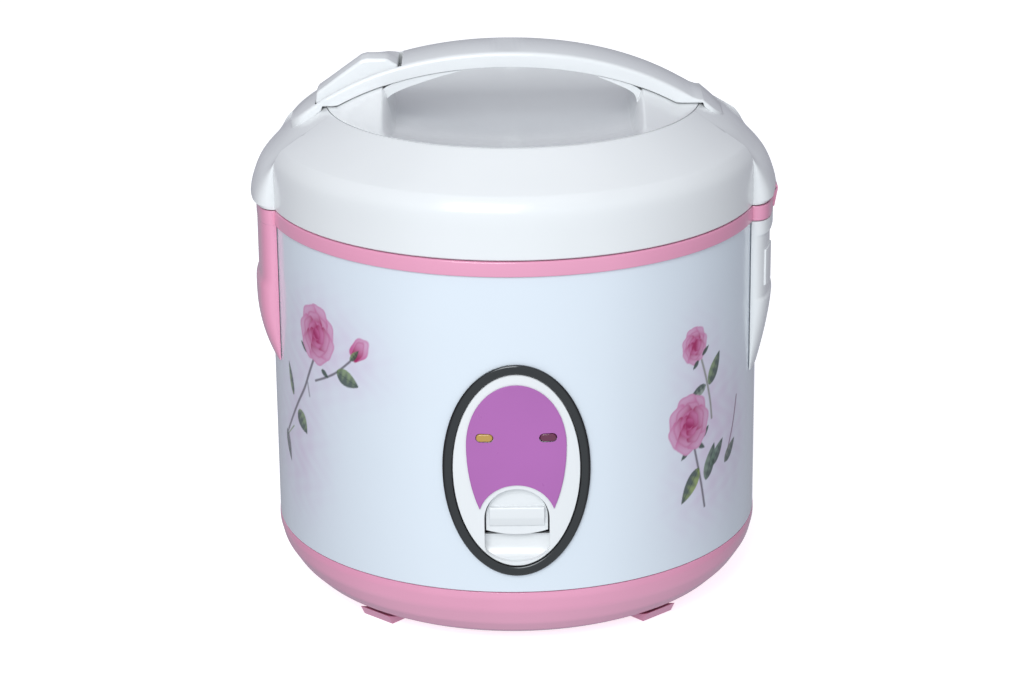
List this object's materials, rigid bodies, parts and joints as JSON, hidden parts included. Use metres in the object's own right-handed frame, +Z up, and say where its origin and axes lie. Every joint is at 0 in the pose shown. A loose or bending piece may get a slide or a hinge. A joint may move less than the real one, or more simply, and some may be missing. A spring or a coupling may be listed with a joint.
{
  "type": "rice cooker",
  "caption": "Round electric rice cooker with a hinged latched lid, arched carrying handle, lift-out pot and an oval front panel with a one-lever cook switch.",
  "frame": {"origin": "on the ground under the middle of the body, at the underside of the feet", "axes": "+Z up, control panel on -Y, lid latch on -X, lid hinge on +X"},
  "size_m": [0.2691, 0.254, 0.2816],
  "materials": {
    "pink_plastic": "glossy moulded plastic",
    "pink_rubber": "soft matt",
    "printed_shell": "glossy printed enamel",
    "white_plastic": "glossy moulded plastic",
    "white_acetal": "satin",
    "black_plastic": "satin",
    "red_plastic": "glossy",
    "purple_film": "glossy film",
    "warm_lens": "clear tinted, shown opaque",
    "cook_lens": "clear tinted, shown opaque",
    "lamp_glass": "clear",
    "chrome": "plated",
    "zinc_steel": "zinc plated",
    "screw_steel": "plain",
    "spring_steel": "drawn wire",
    "aluminised_steel": "satin",
    "cast_aluminium": "as cast",
    "coated_aluminium": "dark coated",
    "brass": "plain",
    "ferrite": "matt",
    "mica": "matt",
    "phenolic": "matt",
    "wire_sleeve": "woven",
    "silicone": "matt"
  },
  "bodies": {
    "housing": {"ac_inlet": "black_plastic", "base_housing": "pink_plastic", "base_screw_1": "screw_steel", "base_screw_2": "screw_steel", "base_screw_3": "screw_steel", "bottom_cover": "zinc_steel", "cook_lamp_lens": "cook_lens", "cook_neon_lamp": "lamp_glass", "earth_pin": "brass", "foot_1": "pink_rubber", "foot_2": "pink_rubber", "foot_3": "pink_rubber", "foot_4": "pink_rubber", "heater_lead": "wire_sleeve", "heating_plate": "cast_aluminium", "hinge_pin": "screw_steel", "inlet_lead": "wire_sleeve", "inner_chamber": "aluminised_steel", "keep_warm_heater": "mica", "lever_bracket": "zinc_steel", "lever_pin": "screw_steel", "live_pin": "brass", "microswitch": "black_plastic", "neutral_pin": "brass", "outer_shell": "printed_shell", "panel_bezel": "chrome", "panel_label": "purple_film", "panel_plate": "white_plastic", "plate_standoff_1": "zinc_steel", "plate_standoff_2": "zinc_steel", "plate_standoff_3": "zinc_steel", "switch_bracket": "zinc_steel", "terminal_block": "phenolic", "thermal_fuse": "screw_steel", "thermostat_housing": "zinc_steel", "thermostat_spring": "spring_steel", "top_collar": "pink_plastic", "warm_lamp_lens": "warm_lens", "warm_neon_lamp": "lamp_glass"},
    "lid": {"lid_shell": "white_plastic", "lid_insert": "white_plastic", "handle_cover": "white_plastic", "handle_underside": "white_plastic", "lid_liner": "white_plastic", "inner_lid_plate": "aluminised_steel", "lid_gasket": "silicone", "plate_knob": "silicone", "vent_tube": "white_plastic", "latch_pin": "screw_steel", "latch_spring": "spring_steel"},
    "cook_switch": {"cook_lever": "zinc_steel", "cook_key": "white_plastic"},
    "release_button": {"release_button": "white_plastic"},
    "latch_hook": {"latch_hook": "white_acetal"},
    "steam_vent_cap": {"steam_vent_cap": "white_plastic"},
    "inner_pot": {"inner_pot": "coated_aluminium"},
    "magnet_plunger": {"magnet_plunger": "ferrite"},
    "microswitch_plunger": {"microswitch_plunger": "red_plastic"},
    "thermostat_cap": {"thermostat_cap": "cast_aluminium"},
    "dew_collector": {"dew_collector": "white_plastic"}
  },
  "joints": [
    {"name": "lid_hinge", "type": "hinge", "parent": "housing", "child": "lid", "pos_m": [0.1324, 0, 0.2093], "axis": [0, 1, 0], "range_deg": [0, 85]},
    {"name": "release_button_press", "type": "hinge", "parent": "lid", "child": "release_button", "pos_m": [-0.0975, 0, 0.2555], "axis": [0, 1, 0], "range_deg": [0, 4], "stiffness_Nm_per_rad": 1.5},
    {"name": "latch_hook_swing", "type": "hinge", "parent": "lid", "child": "latch_hook", "pos_m": [-0.1225, 0, 0.2185], "axis": [0, 1, 0], "range_deg": [0, 6.5]},
    {"name": "cook_lever_press", "type": "hinge", "parent": "housing", "child": "cook_switch", "pos_m": [0, -0.04, 0.044], "axis": [1, 0, 0], "range_deg": [0, 5.6], "stiffness_Nm_per_rad": 2},
    {"name": "magnet_lift", "type": "slide", "parent": "housing", "child": "magnet_plunger", "axis": [0, 0, 1], "range_m": [0, 0.004]},
    {"name": "microswitch_press", "type": "slide", "parent": "housing", "child": "microswitch_plunger", "axis": [0, 0, 1], "range_m": [-0.0043, 0]},
    {"name": "thermostat_press", "type": "slide", "parent": "housing", "child": "thermostat_cap", "axis": [0, 0, 1], "range_m": [-0.003, 0], "stiffness_N_per_m": 600, "deforming": ["thermostat_spring"]},
    {"name": "dew_collector_pull", "type": "slide", "parent": "housing", "child": "dew_collector", "axis": [1, 0, 0], "range_m": [0, 0.05]},
    {"name": "vent_cap_lift", "type": "slide", "parent": "lid", "child": "steam_vent_cap", "axis": [0, 0, 1], "range_m": [0, 0.015]},
    {"name": "pot_turn", "type": "hinge", "parent": "housing", "child": "inner_pot", "pos_m": [0, 0, 0.072], "axis": [0, 0, 1], "continuous": true}
  ],
  "couplings": [
    {"joint": "latch_hook_swing", "follows": "release_button_press", "ratio": 1.6},
    {"joint": "magnet_lift", "follows": "cook_lever_press", "m_per_rad": 0.04},
    {"joint": "microswitch_press", "follows": "cook_lever_press", "m_per_rad": -0.0435}
  ]
}
